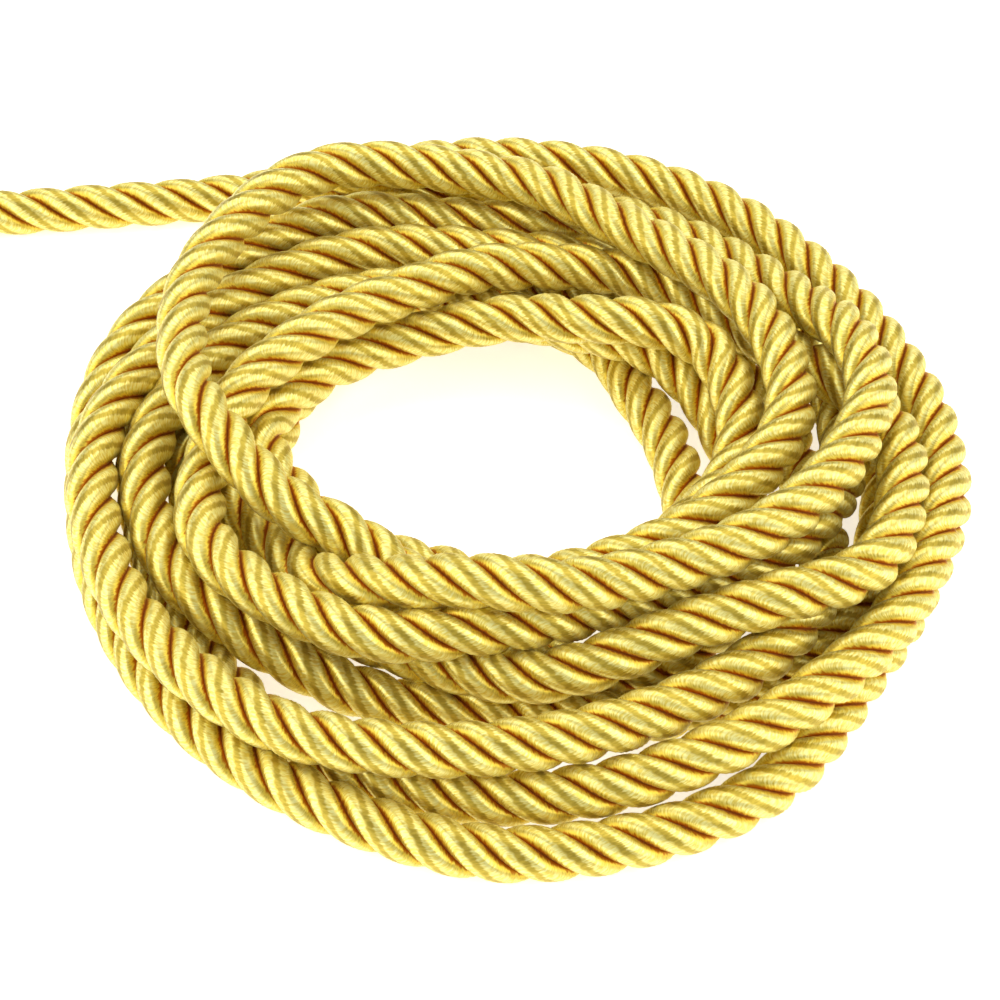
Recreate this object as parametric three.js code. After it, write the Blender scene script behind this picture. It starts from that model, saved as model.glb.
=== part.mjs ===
import * as THREE from "three";

// Twisted satin cord in a loose heap of about ten and a half turns, one end running off at the back left.
// Millimetres, +Z up. The table below is in cord diameters and clock hours seen from above:
// 12 is the back (+Y), 3 the right (+X), 6 the front and 9 the left, counted on from turn to turn.

const cordDiameter = 5;
const halfWidth = 0.45; // middle of the section to each of its flats, in diameters
const sectionSides = 8;
const heapMiddle = [0.15, 0.1];
const hoursPerTurn = 12;
const stepsPerHour = 4;

// The free end, from its cut to the heap: x, y and height of the middle of the cord.
const freeEnd = [
  [-12.6, 8.3, 0.3],
  [-8.9, 8.6, 0.3],
];
const freeEndHour = -1; // the free end meets the heap at 11 o'clock
const freeEndRadius = 10.2;
const freeEndHeight = 0.4;

// Each turn: distance from the middle of the heap and height, at 12, 1, 2 ... 11 o'clock.
// Heights say which cord lies over which at a crossing: 0.4 is on the floor, about 1.3 one cord up.
// The settling below lets the turns touch.
const turns = [
  {
    radius: [8.2, 8.2, 8.1, 8.5, 8.4, 8.2, 8.0, 7.8, 7.2, 7.2, 7.9, 8.8],
    height: [1.9, 1.9, 1.7, 1.4, 1.4, 1.2, 0.6, 0.4, 0.4, 0.4, 0.4, 0.6],
  },
  {
    radius: [9.0, 8.6, 8.2, 8.4, 7.6, 8.7, 8.8, 8.3, 8.0, 7.8, 7.8, 7.7],
    height: [0.8, 0.8, 0.6, 0.4, 0.4, 0.4, 0.4, 0.6, 0.4, 0.4, 1.1, 1.4],
  },
  {
    radius: [6.4, 6.5, 6.7, 7.0, 6.2, 5.3, 5.3, 5.2, 4.9, 5.7, 6.3, 6.6],
    height: [1.3, 1.6, 1.8, 2.6, 3.0, 2.8, 2.7, 2.3, 1.5, 1.1, 0.4, 0.4],
  },
  {
    radius: [6.2, 5.7, 5.8, 6.0, 7.0, 7.2, 7.5, 8.1, 8.1, 7.9, 7.4, 6.8],
    height: [0.4, 0.4, 0.4, 0.4, 1.0, 1.4, 1.5, 1.5, 1.5, 1.5, 1.4, 1.4],
  },
  {
    radius: [6.0, 6.6, 7.2, 6.8, 6.4, 5.1, 5.3, 5.9, 6.4, 5.4, 4.5, 4.2],
    height: [1.4, 1.0, 1.2, 1.2, 1.6, 1.9, 2.2, 2.3, 2.2, 2.1, 2.2, 2.1],
  },
  {
    radius: [4.7, 5.6, 6.1, 7.5, 7.7, 6.0, 5.6, 5.4, 5.9, 6.4, 7.2, 7.7],
    height: [1.9, 1.7, 1.7, 2.0, 2.1, 2.0, 1.5, 1.0, 0.4, 0.4, 0.4, 0.4],
  },
  {
    radius: [8.1, 7.8, 7.6, 7.6, 7.4, 6.6, 5.6, 6.0, 7.1, 7.3, 6.3, 5.3],
    height: [0.4, 0.4, 0.4, 0.4, 0.4, 0.4, 0.4, 0.7, 1.2, 1.5, 1.4, 1.3],
  },
  {
    radius: [4.3, 3.9, 4.3, 4.7, 5.3, 5.4, 4.9, 4.3, 5.1, 6.1, 7.2, 8.1],
    height: [1.0, 1.0, 1.0, 0.4, 0.4, 0.4, 0.8, 1.7, 2.3, 2.8, 2.9, 2.7],
  },
  {
    radius: [7.0, 5.7, 5.7, 5.5, 4.7, 4.1, 3.6, 3.6, 4.3, 5.3, 4.5, 3.8],
    height: [2.4, 2.5, 2.5, 2.5, 2.3, 1.9, 1.4, 1.2, 1.2, 1.3, 1.3, 1.4],
  },
  {
    radius: [3.4, 3.5, 4.6, 4.6, 4.2, 3.9, 3.9, 4.1, 4.5, 5.0, 5.2, 5.2],
    height: [1.7, 1.7, 1.6, 1.5, 1.3, 0.8, 0.4, 0.4, 0.4, 0.4, 0.4, 0.4],
  },
  {
    radius: [5.0, 4.2, 3.6, 3.5, 4.0, 4.8],
    height: [0.4, 0.4, 0.4, 0.4, 0.4, 0.4],
  },
];

// Easing of the turns against each other.
const touching = 1.02; // spacing of two touching cords, in diameters
const easingPasses = 150;
const neighbours = 5; // stations along the cord that don't press on each other
const pressure = 0.45;
const evening = 0.06; // share by which each pass evens the shifts of neighbouring stations

const endGap = 0.3; // mm between the heap's solid and the free end's

function tablePoints() {
  const points = freeEnd.map((p) => p.slice());
  const place = (hour, radius, height) => {
    const angle = (hour / hoursPerTurn) * 2 * Math.PI;
    points.push([
      heapMiddle[0] + radius * Math.sin(angle),
      heapMiddle[1] + radius * Math.cos(angle),
      height,
    ]);
  };
  place(freeEndHour, freeEndRadius, freeEndHeight);
  turns.forEach((turn, number) => {
    turn.radius.forEach((radius, hour) => {
      place(number * hoursPerTurn + hour, radius, turn.height[hour]);
    });
  });
  return points;
}

// Catmull-Rom curve through the table's points, stepsPerHour stations for each of its stretches.
function smooth(points) {
  const last = points.length - 1;
  const before = points[0].map((v, k) => 2 * v - points[1][k]);
  const after = points[last].map((v, k) => 2 * v - points[last - 1][k]);
  const p = [before, ...points, after];
  const stations = [];
  for (let i = 1; i <= last; i += 1) {
    for (let s = 0; s < stepsPerHour; s += 1) {
      const t = s / stepsPerHour;
      stations.push(
        [0, 1, 2].map((k) => {
          const a = p[i - 1][k];
          const b = p[i][k];
          const c = p[i + 1][k];
          const d = p[i + 2][k];
          const slope = 0.5 * (c - a);
          const square = a - 2.5 * b + 2 * c - 0.5 * d;
          const cube = 1.5 * (b - c) + 0.5 * (d - a);
          return b + t * slope + t * t * square + t * t * t * cube;
        }),
      );
    }
  }
  stations.push(points[last].slice());
  return stations;
}

// Lets the cord settle: stations nearer than one cord push each other apart, none sinks below the floor.
function settle(start) {
  const reach = touching * touching;
  const count = start.length;
  let now = start.map((p) => p.slice());
  for (let pass = 0; pass < easingPasses; pass += 1) {
    const shift = now.map((p, i) => {
      const push = [0, 0, 0];
      let pressed = 0;
      for (let j = 0; j < count; j += 1) {
        const x = p[0] - now[j][0];
        const y = p[1] - now[j][1];
        const z = p[2] - now[j][2];
        const square = x * x + y * y + z * z;
        if (square < reach && Math.abs(i - j) > neighbours) {
          const share = touching / Math.sqrt(square) - 1;
          push[0] += share * x;
          push[1] += share * y;
          push[2] += share * z;
          pressed += 1;
        }
      }
      const strength = pressure / Math.max(pressed, 1);
      return p.map((v, k) => v + strength * push[k] - start[i][k]);
    });
    now = shift.map((own, i) => {
      const previous = shift[Math.max(i - 1, 0)];
      const next = shift[Math.min(i + 1, count - 1)];
      const inner = i > 0 && i < count - 1;
      return own.map((v, k) => {
        const even = inner ? 0.5 * (previous[k] + next[k]) : v;
        return start[i][k] + v + evening * (even - v);
      });
    });
    now.forEach((p) => {
      p[2] = Math.max(p[2], halfWidth);
    });
  }
  return now;
}

// Direction of the cord at each station, from the station before to the one after.
function directions(stations) {
  return stations.map((p, i) => {
    const next = stations[Math.min(i + 1, stations.length - 1)];
    const previous = stations[Math.max(i - 1, 0)];
    const along = new THREE.Vector3(...next).sub(new THREE.Vector3(...previous));
    return along.normalize();
  });
}

// A curve through given stations whose section stands upright, so that its flat side lies down.
class LyingCord extends THREE.CatmullRomCurve3 {
  constructor(points, tangents) {
    super(points);
    this.tangents = tangents;
  }

  getSpacedPoints() {
    return this.points;
  }

  computeFrenetFrames() {
    const up = new THREE.Vector3(0, 0, 1);
    const tangents = this.tangents;
    const normals = tangents.map((t) => up.clone().cross(t).normalize());
    const binormals = tangents.map((t, i) => t.clone().cross(normals[i]));
    return { tangents, normals, binormals };
  }
}

function cordSolid(name, stations, tangents) {
  const corner = halfWidth / Math.cos(Math.PI / sectionSides);
  const section = new THREE.Shape();
  for (let i = 0; i < sectionSides; i += 1) {
    const angle = ((i + 0.5) / sectionSides) * 2 * Math.PI;
    const x = cordDiameter * corner * Math.cos(angle);
    const y = cordDiameter * corner * Math.sin(angle);
    if (i === 0) {
      section.moveTo(x, y);
    } else {
      section.lineTo(x, y);
    }
  }
  section.closePath();
  const points = stations.map((p) =>
    new THREE.Vector3(...p).multiplyScalar(cordDiameter),
  );
  const geometry = new THREE.ExtrudeGeometry(section, {
    steps: points.length - 1,
    bevelEnabled: false,
    extrudePath: new LyingCord(points, tangents),
  });
  const mesh = new THREE.Mesh(geometry);
  mesh.name = name;
  return mesh;
}

const centreLine = settle(smooth(tablePoints()));
const tangents = directions(centreLine);

// The free end is parted from the heap where it reaches it; the heap's solid starts a small gap further.
const parting = freeEnd.length * stepsPerHour;
const heapStart = centreLine[parting].map(
  (v, k) => v + (endGap / cordDiameter) * tangents[parting].toArray()[k],
);
const heapLine = [heapStart, ...centreLine.slice(parting + 1)];
const freeLine = centreLine.slice(0, parting + 1);

const part = new THREE.Group();
part.add(cordSolid("coil", heapLine, tangents.slice(parting)));
part.add(cordSolid("loose_end", freeLine, tangents.slice(0, parting + 1)));

// Origin under the middle of the whole cord, on the floor.
const box = new THREE.Box3().setFromObject(part);
const middle = box.getCenter(new THREE.Vector3());
part.position.set(-middle.x, -middle.y, -box.min.z);

export default part;
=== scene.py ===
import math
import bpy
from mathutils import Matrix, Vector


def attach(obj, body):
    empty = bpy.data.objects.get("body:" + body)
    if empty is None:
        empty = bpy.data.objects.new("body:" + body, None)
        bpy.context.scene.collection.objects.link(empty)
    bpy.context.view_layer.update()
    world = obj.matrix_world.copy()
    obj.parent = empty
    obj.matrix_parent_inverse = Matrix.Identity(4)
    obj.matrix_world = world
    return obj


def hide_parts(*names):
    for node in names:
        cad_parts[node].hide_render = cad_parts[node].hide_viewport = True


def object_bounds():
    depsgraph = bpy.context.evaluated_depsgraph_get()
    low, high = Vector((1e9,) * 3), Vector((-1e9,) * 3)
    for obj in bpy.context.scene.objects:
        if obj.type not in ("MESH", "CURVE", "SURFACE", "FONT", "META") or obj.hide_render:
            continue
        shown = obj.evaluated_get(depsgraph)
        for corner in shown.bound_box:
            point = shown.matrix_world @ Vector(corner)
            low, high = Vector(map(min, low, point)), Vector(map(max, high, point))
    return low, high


bl_info = {
    "name": "Twisted satin cord",
    "version": (1, 0, 0),
    "blender": (4, 5, 0),
    "location": "View3D > Sidebar > Satin cord",
    "description": "Winds a three-strand twisted satin cord into a loose heap",
    "category": "Object",
}

import bpy
import numpy as np

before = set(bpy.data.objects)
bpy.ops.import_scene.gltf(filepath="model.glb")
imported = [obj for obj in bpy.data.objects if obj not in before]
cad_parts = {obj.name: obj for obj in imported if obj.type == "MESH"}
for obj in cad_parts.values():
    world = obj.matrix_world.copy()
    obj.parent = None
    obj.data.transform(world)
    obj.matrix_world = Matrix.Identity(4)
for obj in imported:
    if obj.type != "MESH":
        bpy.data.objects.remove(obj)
solid_low, solid_high = [np.array(corner, float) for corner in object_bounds()]

# Route of the cord, in cord diameters and clock hours seen from above: 12 is the back (+Y),
# 3 the right (+X), 6 the front and 9 the left, counted on from turn to turn.
HALF_WIDTH = 0.45  # middle of the solid's section to each of its flats
HEAP_MIDDLE = (0.15, 0.1)
HOURS_PER_TURN = 12
STEPS_PER_HOUR = 4
# From the cut of the free end to the heap: x, y and height of the middle of the cord.
FREE_END = ((-12.6, 8.3, 0.3), (-8.9, 8.6, 0.3))
FREE_END_HOUR = -1  # it meets the heap at 11 o'clock
FREE_END_RADIUS = 10.2
FREE_END_HEIGHT = 0.4

# Each turn: distances from the middle of the heap, then heights, at 12, 1, 2 ... 11 o'clock.
TURNS = (
    (
        (8.2, 8.2, 8.1, 8.5, 8.4, 8.2, 8.0, 7.8, 7.2, 7.2, 7.9, 8.8),
        (1.9, 1.9, 1.7, 1.4, 1.4, 1.2, 0.6, 0.4, 0.4, 0.4, 0.4, 0.6),
    ),
    (
        (9.0, 8.6, 8.2, 8.4, 7.6, 8.7, 8.8, 8.3, 8.0, 7.8, 7.8, 7.7),
        (0.8, 0.8, 0.6, 0.4, 0.4, 0.4, 0.4, 0.6, 0.4, 0.4, 1.1, 1.4),
    ),
    (
        (6.4, 6.5, 6.7, 7.0, 6.2, 5.3, 5.3, 5.2, 4.9, 5.7, 6.3, 6.6),
        (1.3, 1.6, 1.8, 2.6, 3.0, 2.8, 2.7, 2.3, 1.5, 1.1, 0.4, 0.4),
    ),
    (
        (6.2, 5.7, 5.8, 6.0, 7.0, 7.2, 7.5, 8.1, 8.1, 7.9, 7.4, 6.8),
        (0.4, 0.4, 0.4, 0.4, 1.0, 1.4, 1.5, 1.5, 1.5, 1.5, 1.4, 1.4),
    ),
    (
        (6.0, 6.6, 7.2, 6.8, 6.4, 5.1, 5.3, 5.9, 6.4, 5.4, 4.5, 4.2),
        (1.4, 1.0, 1.2, 1.2, 1.6, 1.9, 2.2, 2.3, 2.2, 2.1, 2.2, 2.1),
    ),
    (
        (4.7, 5.6, 6.1, 7.5, 7.7, 6.0, 5.6, 5.4, 5.9, 6.4, 7.2, 7.7),
        (1.9, 1.7, 1.7, 2.0, 2.1, 2.0, 1.5, 1.0, 0.4, 0.4, 0.4, 0.4),
    ),
    (
        (8.1, 7.8, 7.6, 7.6, 7.4, 6.6, 5.6, 6.0, 7.1, 7.3, 6.3, 5.3),
        (0.4, 0.4, 0.4, 0.4, 0.4, 0.4, 0.4, 0.7, 1.2, 1.5, 1.4, 1.3),
    ),
    (
        (4.3, 3.9, 4.3, 4.7, 5.3, 5.4, 4.9, 4.3, 5.1, 6.1, 7.2, 8.1),
        (1.0, 1.0, 1.0, 0.4, 0.4, 0.4, 0.8, 1.7, 2.3, 2.8, 2.9, 2.7),
    ),
    (
        (7.0, 5.7, 5.7, 5.5, 4.7, 4.1, 3.6, 3.6, 4.3, 5.3, 4.5, 3.8),
        (2.4, 2.5, 2.5, 2.5, 2.3, 1.9, 1.4, 1.2, 1.2, 1.3, 1.3, 1.4),
    ),
    (
        (3.4, 3.5, 4.6, 4.6, 4.2, 3.9, 3.9, 4.1, 4.5, 5.0, 5.2, 5.2),
        (1.7, 1.7, 1.6, 1.5, 1.3, 0.8, 0.4, 0.4, 0.4, 0.4, 0.4, 0.4),
    ),
    (
        (5.0, 4.2, 3.6, 3.5, 4.0, 4.8),
        (0.4, 0.4, 0.4, 0.4, 0.4, 0.4),
    ),
)

# Settling of the turns against each other, as in the part's source.
TOUCHING = 1.02  # spacing of two touching cords, in diameters
SETTLING_PASSES = 150
NEIGHBOURS = 5  # stations along the cord that don't press on each other
PRESSURE = 0.45
EVENING = 0.06  # share by which each pass evens the shifts of neighbouring stations
NO_DISTANCE = 1e-9

STRAND_COUNT = 3
LAY_OPENING = (-0.09, 0.07)  # change of the lay to the right and to the back of the heap, as a share
FINE_STEPS = 8  # parts of each stretch of the route, from which the even stations are taken
TWIST_WAVES = ((0.05, 9.1, 0.0), (0.03, 4.3, 1.3))  # share of a turn, reach in diameters, start
SWELLING = (0.02, 1.9, 2.1)  # share of a strand's size, reach in diameters, step from strand to strand
MM_PER_METRE = 1000

WINDING_MAP = "winding"
THREAD_BREAKS = 7.0  # changes of a thread's shade in one way round a strand
SINGLE_THREADS = (1.0, 1.0)  # scale and detail of their noise
THREAD_LOCKS = (0.5, 0.0)
NOISE_ROUGHNESS = 0.6
# A dark thread gets painted shade and a light one a painted glint.
THREAD_EDGES = (0.30, 0.68)  # noise of a dark thread and of a light one
BAND_WAVER = 0.045  # how far the threads shift the edges of the bands, as a share of the way round
# Where one band goes over into the next, as a share of the way round from the strand's crest. The bands are
# painted light and shade: painted shade on the crest, a painted highlight, plain satin, painted amber bounce
# light at the groove's edge and painted shade in the groove.
CREST_SHADE_EDGE = (0.025, 0.07)
LIGHT_EDGE = (0.17, 0.225)
AMBER_BOUNCE_EDGE = (0.225, 0.25)
GROOVE_SHADE_EDGE = (0.25, 0.285)
SATIN_FINISH = {
    "Roughness": 0.38,
    "Metallic": 0.75,
    "Specular IOR Level": 0.3,
    "Anisotropic": 0.85,
    "Sheen Weight": 0.12,
    "Sheen Roughness": 0.5,
    "Sheen Tint": (1.0, 0.85, 0.35, 1),
}
THREAD_RELIEF = 0.00005  # metres
RELIEF_STRENGTH = 0.5

WHITE = (1, 1, 1, 1)
FLOOR_HALF = 1.5
FLOOR_ROUGHNESS = 0.9
SENSOR_WIDTH = 36
NEAREST_SEEN = 0.01
# Each softbox: its place, and its side in metres.
SOFTBOXES = {
    "left_softbox": ((-0.50, -0.15, 0.30), 0.6),
    "right_softbox": ((0.50, -0.15, 0.30), 0.6),
    "back_softbox": ((0.0, 0.30, 0.52), 0.7),
}

# Route


def table_points():
    """Points of the table.

    Each is the heap's middle plus radius times the sine (x) and the cosine (y) of the hour's angle.
    """
    hour, radius, height = [FREE_END_HOUR], [FREE_END_RADIUS], [FREE_END_HEIGHT]
    for turn, (radii, heights) in enumerate(TURNS):
        hour.extend(turn * HOURS_PER_TURN + np.arange(len(radii)))
        radius.extend(radii)
        height.extend(heights)
    angle = np.array(hour) / HOURS_PER_TURN * 2 * np.pi
    x = HEAP_MIDDLE[0] + np.array(radius) * np.sin(angle)
    y = HEAP_MIDDLE[1] + np.array(radius) * np.cos(angle)
    return np.vstack([FREE_END, np.stack([x, y, height], axis=1)])


def smooth_line(points, steps):
    """Catmull-Rom curve through the points.

    Between points b and c, with a before them and d after, it is b + t slope + t^2 square + t^3 cube.
    """
    first = 2 * points[0] - points[1]
    last = 2 * points[-1] - points[-2]
    p = np.vstack([first, points, last])
    a, b, c, d = (p[i : len(p) - 3 + i, None] for i in range(4))
    t = (np.arange(steps) / steps)[None, :, None]
    slope = 0.5 * (c - a)
    square = a - 2.5 * b + 2 * c - 0.5 * d
    cube = 1.5 * (b - c) + 0.5 * (d - a)
    curve = b + t * slope + t**2 * square + t**3 * cube
    return np.vstack([curve.reshape(-1, 3), points[-1]])


def settle(start):
    """Lets the turns touch.

    Stations nearer than one cord push each other apart along the line between them, the shifts of
    neighbouring stations are evened, and none sinks below the floor.
    """
    now = start.copy()
    order = np.arange(len(start))
    apart = np.abs(order[:, None] - order) > NEIGHBOURS
    for _ in range(SETTLING_PASSES):
        away = now[:, None] - now
        distance = np.sqrt((away**2).sum(2)) + NO_DISTANCE
        share = np.where(apart & (distance < TOUCHING), TOUCHING / distance - 1, 0)
        pressed = np.maximum((share > 0).sum(1), 1)[:, None]
        push = np.einsum("ij,ijk->ik", share, away)
        shift = now + PRESSURE * push / pressed - start
        even = shift.copy()
        even[1:-1] = 0.5 * (shift[:-2] + shift[2:])
        now = start + shift + EVENING * (even - shift)
        now[:, 2] = np.maximum(now[:, 2], HALF_WIDTH)
    return now


def cord_route(diameter):
    """Centreline in metres in the part's frame, and where the table's own origin comes in that frame.

    The solid's box ends half its section past the route's outermost stations, which gives the shift.
    """
    route = settle(smooth_line(table_points(), STEPS_PER_HOUR)) * diameter
    shift = np.append(solid_high[:2] - route[:, :2].max(axis=0) - HALF_WIDTH * diameter, 0)
    return route + shift, shift


# Strands


def lengths_along(line):
    """Distance along a line to each of its points."""
    steps = np.linalg.norm(np.diff(line, axis=0), axis=1)
    return np.concatenate([[0], np.cumsum(steps)])


def even_stations(line, spacing):
    """The same line with stations at even distances along it, and those distances from its start."""
    fine = smooth_line(line, FINE_STEPS)
    along = lengths_along(fine)
    count = int(round(along[-1] / spacing))
    place = np.linspace(0, along[-1], count + 1)
    return np.stack([np.interp(place, along, fine[:, k]) for k in range(3)], axis=1), place


def rolling_frames(line):
    """Direction, side and top at each station, turned so that the frame doesn't twist about the line.

    Side is level to begin with. Its turning about the line, summed up to a station, is then undone:
    cos roll * side + sin roll * top, and cos roll * top - sin roll * side.
    """
    forward = np.gradient(line, axis=0)
    forward /= np.linalg.norm(forward, axis=1)[:, None]
    side = np.cross([0, 0, 1], forward)
    side /= np.linalg.norm(side, axis=1)[:, None]
    top = np.cross(forward, side)
    turning = (np.diff(side, axis=0) * 0.5 * (top[1:] + top[:-1])).sum(1)
    roll = -np.concatenate([[0], np.cumsum(turning)])[:, None]
    return forward, np.cos(roll) * side + np.sin(roll) * top, np.cos(roll) * top - np.sin(roll) * side


def turns_of_lay(line, along, sizes):
    """Turns of the twist up to each station: the sum of distance over lay.

    The lay is longer at the heap's back left and shorter at its front right.
    """
    out = line[:, :2] / np.linalg.norm(line[:, :2], axis=1)[:, None]
    lay = sizes.lay_length * (1 + out @ LAY_OPENING)
    rate = 0.5 * (1 / lay[1:] + 1 / lay[:-1])
    return np.concatenate([[0], np.cumsum(rate * np.diff(along))])


def strand_surface(line, along, frames, number, sizes):
    """A strand's skin: a pressed oval carried round the cord's line, once per lay, right-handed.

    At distance s the strand's middle points outwards at angle 2 pi s / lay + number * 120 degrees,
    give or take a few slow waves. The oval at angle v is (offset + height cos v, width sin v), with
    sine and cosine raised to 2 / squareness for its shoulders.
    """
    forward, side, top = frames
    d = sizes.cord_diameter
    drift = sum(share * np.sin(along / (reach * d) + start) for share, reach, start in TWIST_WAVES)
    turn = 2 * np.pi * (turns_of_lay(line, along, sizes) + drift) + number * 2 * np.pi / STRAND_COUNT
    out = np.cos(turn)[:, None] * side + np.sin(turn)[:, None] * top
    across = np.cos(turn)[:, None] * top - np.sin(turn)[:, None] * side
    v = np.linspace(-np.pi, np.pi, sizes.strand_sides + 1)[:-1]
    power = 2 / sizes.squareness
    high = np.sign(np.cos(v)) * np.abs(np.cos(v)) ** power
    wide = np.sign(np.sin(v)) * np.abs(np.sin(v)) ** power
    share, reach, step = SWELLING
    lively = 1 + share * np.sin(along / (reach * d) + step * number)[:, None]
    radial = (sizes.strand_offset + sizes.strand_height * high[None] * lively) * d
    sideways = sizes.strand_width * wide[None] * lively * d
    return line[:, None] + radial[..., None] * out[:, None] + sideways[..., None] * across[:, None]


def tube_mesh(name, skin, along):
    """A closed tube through rings of points, with a winding map.

    The map holds the millimetres along the tube and the share of the way round. Each end is closed
    by a pole one ring's distance past its middle.
    """
    rings, sides = skin.shape[:2]
    poles = np.stack([2 * skin[0].mean(0) - skin[1].mean(0), 2 * skin[-1].mean(0) - skin[-2].mean(0)])
    points = np.vstack([skin.reshape(-1, 3), poles])
    ring = np.arange(rings - 1)[:, None] * sides
    here = np.arange(sides)[None]
    there = (here + 1) % sides
    next_ring = ring + sides
    quads = np.stack([ring + here, ring + there, next_ring + there, next_ring + here], axis=2).reshape(-1, 4)
    start_cap = np.stack([here[0] * 0 + rings * sides, there[0], here[0]], axis=1)
    last = (rings - 1) * sides
    end_cap = np.stack([here[0] * 0 + rings * sides + 1, last + here[0], last + there[0]], axis=1)
    corners = np.concatenate([quads.ravel(), start_cap.ravel(), end_cap.ravel()])
    sizes_of_faces = np.concatenate([np.full(len(quads), 4), np.full(2 * sides, 3)])
    mesh = bpy.data.meshes.new(name)
    mesh.vertices.add(len(points))
    mesh.vertices.foreach_set("co", points.ravel())
    mesh.loops.add(len(corners))
    mesh.loops.foreach_set("vertex_index", corners)
    mesh.polygons.add(len(sizes_of_faces))
    mesh.polygons.foreach_set("loop_start", np.concatenate([[0], np.cumsum(sizes_of_faces)[:-1]]))
    mesh.polygons.foreach_set("use_smooth", np.ones(len(sizes_of_faces), bool))
    mm = along * MM_PER_METRE
    u = np.stack([mm[:-1], mm[:-1], mm[1:], mm[1:]], axis=1)[:, None].repeat(sides, axis=1)
    v_here, v_there = here[0] / sides, (here[0] + 1) / sides
    v = np.stack([v_here, v_there, v_there, v_here], axis=1)[None].repeat(rings - 1, axis=0)
    quad_map = np.stack([u, v], axis=3).reshape(-1, 2)
    v_cap = np.stack([v_here, v_there, v_here], axis=1)
    start_map = np.stack([np.zeros((sides, 3)), v_cap], axis=2).reshape(-1, 2)
    end_map = start_map + [mm[-1], 0]
    layer = mesh.uv_layers.new(name=WINDING_MAP)
    layer.data.foreach_set("uv", np.vstack([quad_map, start_map, end_map]).astype(np.float32).ravel())
    mesh.update(calc_edges=True)
    mesh.validate()
    return mesh


def new_piece(name, mesh, material):
    """Puts a mesh in the scene at the origin, with its material."""
    piece = bpy.data.objects.new(name, mesh)
    bpy.context.scene.collection.objects.link(piece)
    mesh.materials.clear()
    mesh.materials.append(material)
    return piece


# Materials


def add_node(tree, kind, **values):
    """Adds a node; values name its properties, or its inputs by label."""
    node = tree.nodes.new(kind)
    for key, value in values.items():
        if hasattr(node, key):
            setattr(node, key, value)
        else:
            node.inputs[key.replace("_", " ")].default_value = value
    return node


def calculate(tree, operation, *values):
    """A Math node fed by numbers or sockets; returns its output."""
    node = tree.nodes.new("ShaderNodeMath")
    node.operation = operation
    for socket, value in zip(node.inputs, values):
        if isinstance(value, (int, float)):
            socket.default_value = value
        else:
            tree.links.new(value, socket)
    return node.outputs[0]


def ramp_between(tree, value, low, high):
    """0 below low, 1 above high, smooth between."""
    node = tree.nodes.new("ShaderNodeMapRange")
    node.interpolation_type = "SMOOTHSTEP"
    node.inputs["From Min"].default_value = low
    node.inputs["From Max"].default_value = high
    tree.links.new(value, node.inputs["Value"])
    return node.outputs["Result"]


def blend_colours(tree, factor, first, second):
    """A Mix node for colours; returns its colour. Its colour sockets come after those for numbers."""
    node = tree.nodes.new("ShaderNodeMix")
    node.data_type = "RGBA"
    factor_in, first_in, second_in = node.inputs[0], node.inputs[6], node.inputs[7]
    for socket, value in ((factor_in, factor), (first_in, first), (second_in, second)):
        if hasattr(value, "links"):
            tree.links.new(value, socket)
        else:
            socket.default_value = value
    return node.outputs[2]


def wound_threads_group():
    """Fine threads wound round a strand, as uneven lines square to it, and the ragged edges that they give.

    The rings of the winding map stand square to the cord, so a thread lies where
    along + lean * sin(2 pi (round - 0.5)) stays the same. Height is the threads' relief; Threads masks
    painted glints on light threads and painted shade on dark ones.
    """
    group = bpy.data.node_groups.new("wound_threads", "ShaderNodeTree")
    face = group.interface
    for name, default in (("Along", 0.0), ("Round", 0.0), ("Thread Pitch", 0.13), ("Lean", 1.1)):
        face.new_socket(name=name, in_out="INPUT", socket_type="NodeSocketFloat").default_value = default
    for name in ("Height", "Threads", "Ragged"):
        face.new_socket(name=name, in_out="OUTPUT", socket_type="NodeSocketFloat")
    start = group.nodes.new("NodeGroupInput")
    end = group.nodes.new("NodeGroupOutput")
    along, around, pitch, lean = (start.outputs[i] for i in range(4))
    angle = calculate(group, "MULTIPLY", calculate(group, "SUBTRACT", around, 0.5), 2 * math.pi)
    leaning = calculate(group, "MULTIPLY_ADD", calculate(group, "SINE", angle), lean, along)
    place = group.nodes.new("ShaderNodeCombineXYZ")
    group.links.new(calculate(group, "DIVIDE", leaning, pitch), place.inputs[0])
    group.links.new(calculate(group, "MULTIPLY", around, THREAD_BREAKS), place.inputs[1])
    layers = []
    for scale, detail in (SINGLE_THREADS, THREAD_LOCKS):
        noise = add_node(group, "ShaderNodeTexNoise", noise_dimensions="2D", Scale=scale, Detail=detail)
        noise.inputs["Roughness"].default_value = NOISE_ROUGHNESS
        group.links.new(place.outputs[0], noise.inputs["Vector"])
        layers.append(noise.outputs["Fac"])
    threads, locks = layers
    group.links.new(threads, end.inputs["Height"])
    # Threads: the mask for painted glints on light threads and painted shade on dark ones.
    group.links.new(ramp_between(group, threads, *THREAD_EDGES), end.inputs["Threads"])
    both = calculate(group, "ADD", locks, threads)
    group.links.new(calculate(group, "SUBTRACT", both, 1.0), end.inputs["Ragged"])
    return group


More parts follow.
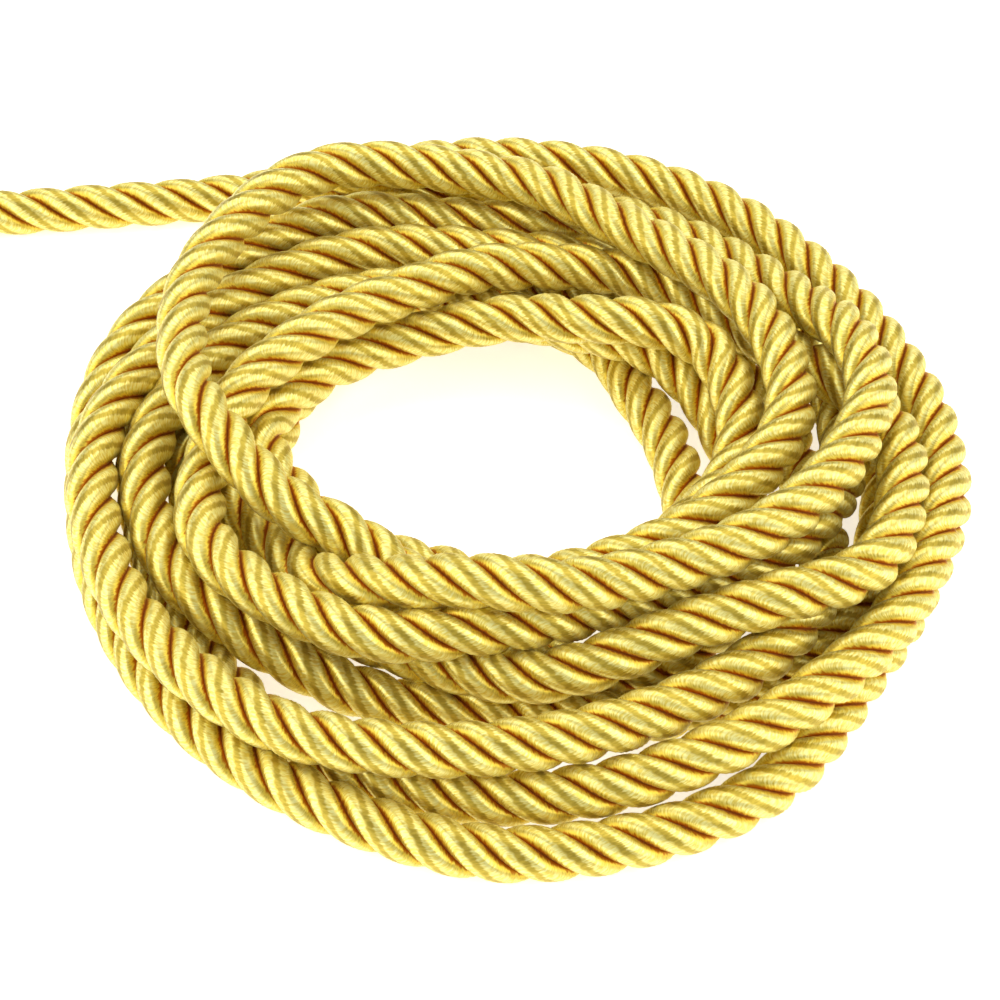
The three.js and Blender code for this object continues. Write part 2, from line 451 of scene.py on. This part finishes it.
def satin_material(colours):
    """Satin of threads wound round each strand.

    From the crest of a strand to the groove beside it, the bands are painted shade on the crest, a painted
    highlight, plain satin, painted amber bounce light and painted shade in the groove. The threads add
    painted glints and painted shade of their own.
    """
    material = bpy.data.materials.new("golden_satin")
    material.use_nodes = True
    tree = material.node_tree
    shader = tree.nodes["Principled BSDF"]
    winding = add_node(tree, "ShaderNodeUVMap", uv_map=WINDING_MAP)
    parts = tree.nodes.new("ShaderNodeSeparateXYZ")
    tree.links.new(winding.outputs["UV"], parts.inputs[0])
    threads = add_node(tree, "ShaderNodeGroup", node_tree=wound_threads_group())
    tree.links.new(parts.outputs[0], threads.inputs["Along"])
    tree.links.new(parts.outputs[1], threads.inputs["Round"])
    ragged = calculate(tree, "MULTIPLY_ADD", threads.outputs["Ragged"], BAND_WAVER, parts.outputs[1])
    aside = calculate(tree, "ABSOLUTE", calculate(tree, "SUBTRACT", ragged, 0.5))
    # Each band mixes painted glints and painted shade of single threads.
    lit = blend_colours(tree, threads.outputs["Threads"], (*colours.satin, 1), (*colours.light, 1))
    plain = blend_colours(tree, threads.outputs["Threads"], (*colours.shade, 1), (*colours.satin, 1))
    crest_shade = blend_colours(tree, threads.outputs["Threads"], (*colours.crest_shade, 1), (*colours.shade, 1))
    # Painted shade on the crest, going over into the painted highlight band.
    inner = blend_colours(tree, ramp_between(tree, aside, *CREST_SHADE_EDGE), crest_shade, lit)
    # The painted highlight band, going over into plain satin.
    outer = blend_colours(tree, ramp_between(tree, aside, *LIGHT_EDGE), inner, plain)
    # Painted amber bounce light at the groove's edge.
    with_amber_bounce = blend_colours(tree, ramp_between(tree, aside, *AMBER_BOUNCE_EDGE), outer, (*colours.amber_bounce, 1))
    # Painted shade in the groove between two strands.
    with_groove_shade = blend_colours(tree, ramp_between(tree, aside, *GROOVE_SHADE_EDGE), with_amber_bounce, (*colours.groove_shade, 1))
    tree.links.new(with_groove_shade, shader.inputs["Base Color"])
    for socket, value in SATIN_FINISH.items():
        shader.inputs[socket].default_value = value
    along_strand = add_node(tree, "ShaderNodeTangent", direction_type="UV_MAP", uv_map=WINDING_MAP)
    tree.links.new(along_strand.outputs[0], shader.inputs["Tangent"])
    bump = add_node(tree, "ShaderNodeBump", Strength=RELIEF_STRENGTH, Distance=THREAD_RELIEF)
    tree.links.new(threads.outputs["Height"], bump.inputs["Height"])
    tree.links.new(bump.outputs[0], shader.inputs["Normal"])
    return material


# Settings


class CordSizes(bpy.types.PropertyGroup):
    """Sizes of the cord. Shares are of the cord's diameter."""

    cord_diameter: bpy.props.FloatProperty(
        name="Cord diameter", description="Across the three strands", default=0.005, unit="LENGTH"
    )
    lay_length: bpy.props.FloatProperty(
        name="Lay", description="Length in which a strand goes once round the cord",
        default=0.0136, unit="LENGTH",
    )
    strand_offset: bpy.props.FloatProperty(
        name="Strand offset", description="Middle of the cord to the middle of a strand, as a share",
        default=0.26,
    )
    strand_height: bpy.props.FloatProperty(
        name="Strand height", description="Half the strand's thickness outwards, as a share",
        default=0.25,
    )
    strand_width: bpy.props.FloatProperty(
        name="Strand width", description="Half the strand's width across, as a share", default=0.305
    )
    squareness: bpy.props.FloatProperty(
        name="Squareness", description="2 is an ellipse, more gives fuller shoulders", default=2.1
    )
    strand_sides: bpy.props.IntProperty(name="Sides", description="Points round a strand", default=18)
    stations_per_lay: bpy.props.IntProperty(
        name="Stations", description="Rings of points in one lay", default=26
    )


class CordColours(bpy.types.PropertyGroup):
    """Colours of the satin, with painted highlights, painted glints, painted bounce light and painted shade
    among them.
    """

    # Painted glints on threads that catch the light.
    light: bpy.props.FloatVectorProperty(
        name="Light", description="Threads that catch the light", subtype="COLOR", size=3,
        default=(1.0, 0.92, 0.34),
    )
    satin: bpy.props.FloatVectorProperty(
        name="Satin", description="Threads in plain light", subtype="COLOR", size=3,
        default=(0.86, 0.68, 0.12),
    )
    # Painted shade on threads that lie lower.
    shade: bpy.props.FloatVectorProperty(
        name="Shade", description="Threads that lie lower", subtype="COLOR", size=3,
        default=(0.62, 0.46, 0.06),
    )
    # Painted shade along the middle of a strand, between its two painted highlight bands.
    crest_shade: bpy.props.FloatVectorProperty(
        name="Crest", description="Middle of a strand", subtype="COLOR", size=3,
        default=(0.47, 0.34, 0.04),
    )
    # Painted amber bounce light where a strand turns into the groove.
    amber_bounce: bpy.props.FloatVectorProperty(
        name="Amber", description="Edge of the groove", subtype="COLOR", size=3,
        default=(0.82, 0.60, 0.06),
    )
    # Painted shade in the groove between two strands.
    groove_shade: bpy.props.FloatVectorProperty(
        name="Groove", description="Depth between two strands", subtype="COLOR", size=3,
        default=(0.50, 0.18, 0.008),
    )


class StudioSettings(bpy.types.PropertyGroup):
    """Floor, lights and camera."""

    floor_colour: bpy.props.FloatVectorProperty(
        name="Floor", description="Colour of the floor", subtype="COLOR", size=3,
        default=(0.93, 0.93, 0.93),
    )
    floor_glow: bpy.props.FloatProperty(
        name="Floor glow", description="Light given off by the floor", default=0.6
    )
    light_power: bpy.props.FloatProperty(
        name="Light power", description="Watts of each softbox", default=2.2
    )
    surround: bpy.props.FloatProperty(
        name="Surround", description="Strength of the room's light", default=0.4
    )
    camera_height: bpy.props.FloatProperty(
        name="Camera height", description="Angle above the floor",
        default=math.radians(47), subtype="ANGLE",
    )
    camera_distance: bpy.props.FloatProperty(
        name="Camera distance", description="To the middle of the view", default=0.2345, unit="LENGTH"
    )
    lens: bpy.props.FloatProperty(name="Lens", description="Focal length in millimetres", default=83.7)


# Operators


class SCENE_OT_set_cord_camera(bpy.types.Operator):
    """Sets the camera at the picture's place"""

    bl_idname = "scene.set_cord_camera"
    bl_label = "Set camera"

    def execute(self, context):
        settings = context.scene.cord_studio
        _, middle = cord_route(context.scene.cord_sizes.cord_diameter)
        lens = bpy.data.cameras.new("picture_camera")
        lens.lens = settings.lens
        lens.sensor_width = SENSOR_WIDTH
        lens.clip_start = NEAREST_SEEN
        camera = bpy.data.objects.new("picture_camera", lens)
        tilt = settings.camera_height
        away = settings.camera_distance
        camera.location = (middle[0], middle[1] - away * math.cos(tilt), away * math.sin(tilt))
        camera.rotation_euler = (math.pi / 2 - tilt, 0, 0)
        context.scene.collection.objects.link(camera)
        context.scene.camera = camera
        return {"FINISHED"}


class OBJECT_OT_wind_cord(bpy.types.Operator):
    bl_idname = "object.wind_cord"
    bl_label = "Wind cord"

    def execute(self, context):
        sizes = context.scene.cord_sizes
        material = satin_material(context.scene.cord_colours)
        route, _ = cord_route(sizes.cord_diameter)
        line, along = even_stations(route, sizes.lay_length / sizes.stations_per_lay)
        frames = rolling_frames(line)
        for number in range(STRAND_COUNT):
            skin = strand_surface(line, along, frames, number, sizes)
            skin[..., 2] = np.maximum(skin[..., 2], 0)
            mesh = tube_mesh(f"strand_{number + 1}", skin, along)
            strand = new_piece(f"strand_{number + 1}", mesh, material)
            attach(strand, "root")
        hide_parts("coil", "loose_end")
        return {"FINISHED"}


class SCENE_OT_set_cord_studio(bpy.types.Operator):
    """Lays a pale floor and hangs soft lights round it"""

    bl_idname = "scene.set_cord_studio"
    bl_label = "Set studio"

    def execute(self, context):
        studio = context.scene.cord_studio
        mesh = bpy.data.meshes.new("studio_floor")
        corners = [(x * FLOOR_HALF, y * FLOOR_HALF, 0) for x, y in ((-1, -1), (1, -1), (1, 1), (-1, 1))]
        mesh.from_pydata(corners, [], [(0, 1, 2, 3)])
        material = bpy.data.materials.new("studio_floor")
        material.use_nodes = True
        shader = material.node_tree.nodes["Principled BSDF"]
        shader.inputs["Base Color"].default_value = (*studio.floor_colour, 1)
        shader.inputs["Roughness"].default_value = FLOOR_ROUGHNESS
        shader.inputs["Emission Color"].default_value = WHITE
        shader.inputs["Emission Strength"].default_value = studio.floor_glow
        floor = new_piece("studio_floor", mesh, material)
        for name, (place, size) in SOFTBOXES.items():
            light = bpy.data.lights.new(name, "AREA")
            light.shape = "SQUARE"
            light.size = size
            light.energy = studio.light_power
            lamp = bpy.data.objects.new(name, light)
            lamp.location = place
            away = np.array(place) / np.linalg.norm(place)
            lamp.rotation_euler = (math.acos(away[2]), 0, math.atan2(away[1], away[0]) + math.pi / 2)
            context.scene.collection.objects.link(lamp)
        world = bpy.data.worlds.new("studio_room")
        world.use_nodes = True
        background = world.node_tree.nodes["Background"]
        background.inputs["Color"].default_value = WHITE
        background.inputs["Strength"].default_value = studio.surround
        context.scene.world = world
        context.scene.view_settings.view_transform = "Standard"
        return {"FINISHED"}


class VIEW3D_PT_satin_cord(bpy.types.Panel):
    """Lists the cord's operators and settings"""

    bl_label = "Satin cord"
    bl_space_type = "VIEW_3D"
    bl_region_type = "UI"
    bl_category = "Satin cord"

    def draw(self, context):
        for operator in OPERATORS:
            self.layout.operator(operator.bl_idname)
        for settings in (context.scene.cord_sizes, context.scene.cord_colours, context.scene.cord_studio):
            for name in settings.__annotations__:
                self.layout.prop(settings, name)


OPERATORS = (SCENE_OT_set_cord_camera, OBJECT_OT_wind_cord, SCENE_OT_set_cord_studio)
SETTINGS = (CordSizes, CordColours, StudioSettings)


def register():
    for part in (*SETTINGS, *OPERATORS, VIEW3D_PT_satin_cord):
        bpy.utils.register_class(part)
    bpy.types.Scene.cord_sizes = bpy.props.PointerProperty(type=CordSizes)
    bpy.types.Scene.cord_colours = bpy.props.PointerProperty(type=CordColours)
    bpy.types.Scene.cord_studio = bpy.props.PointerProperty(type=StudioSettings)


def unregister():
    del bpy.types.Scene.cord_studio
    del bpy.types.Scene.cord_colours
    del bpy.types.Scene.cord_sizes
    for part in (VIEW3D_PT_satin_cord, *OPERATORS[::-1], *SETTINGS[::-1]):
        bpy.utils.unregister_class(part)


def main():
    register()
    bpy.ops.scene.set_cord_camera()
    bpy.ops.object.wind_cord()
    bpy.ops.scene.set_cord_studio()


if __name__ == "__main__":
    main()
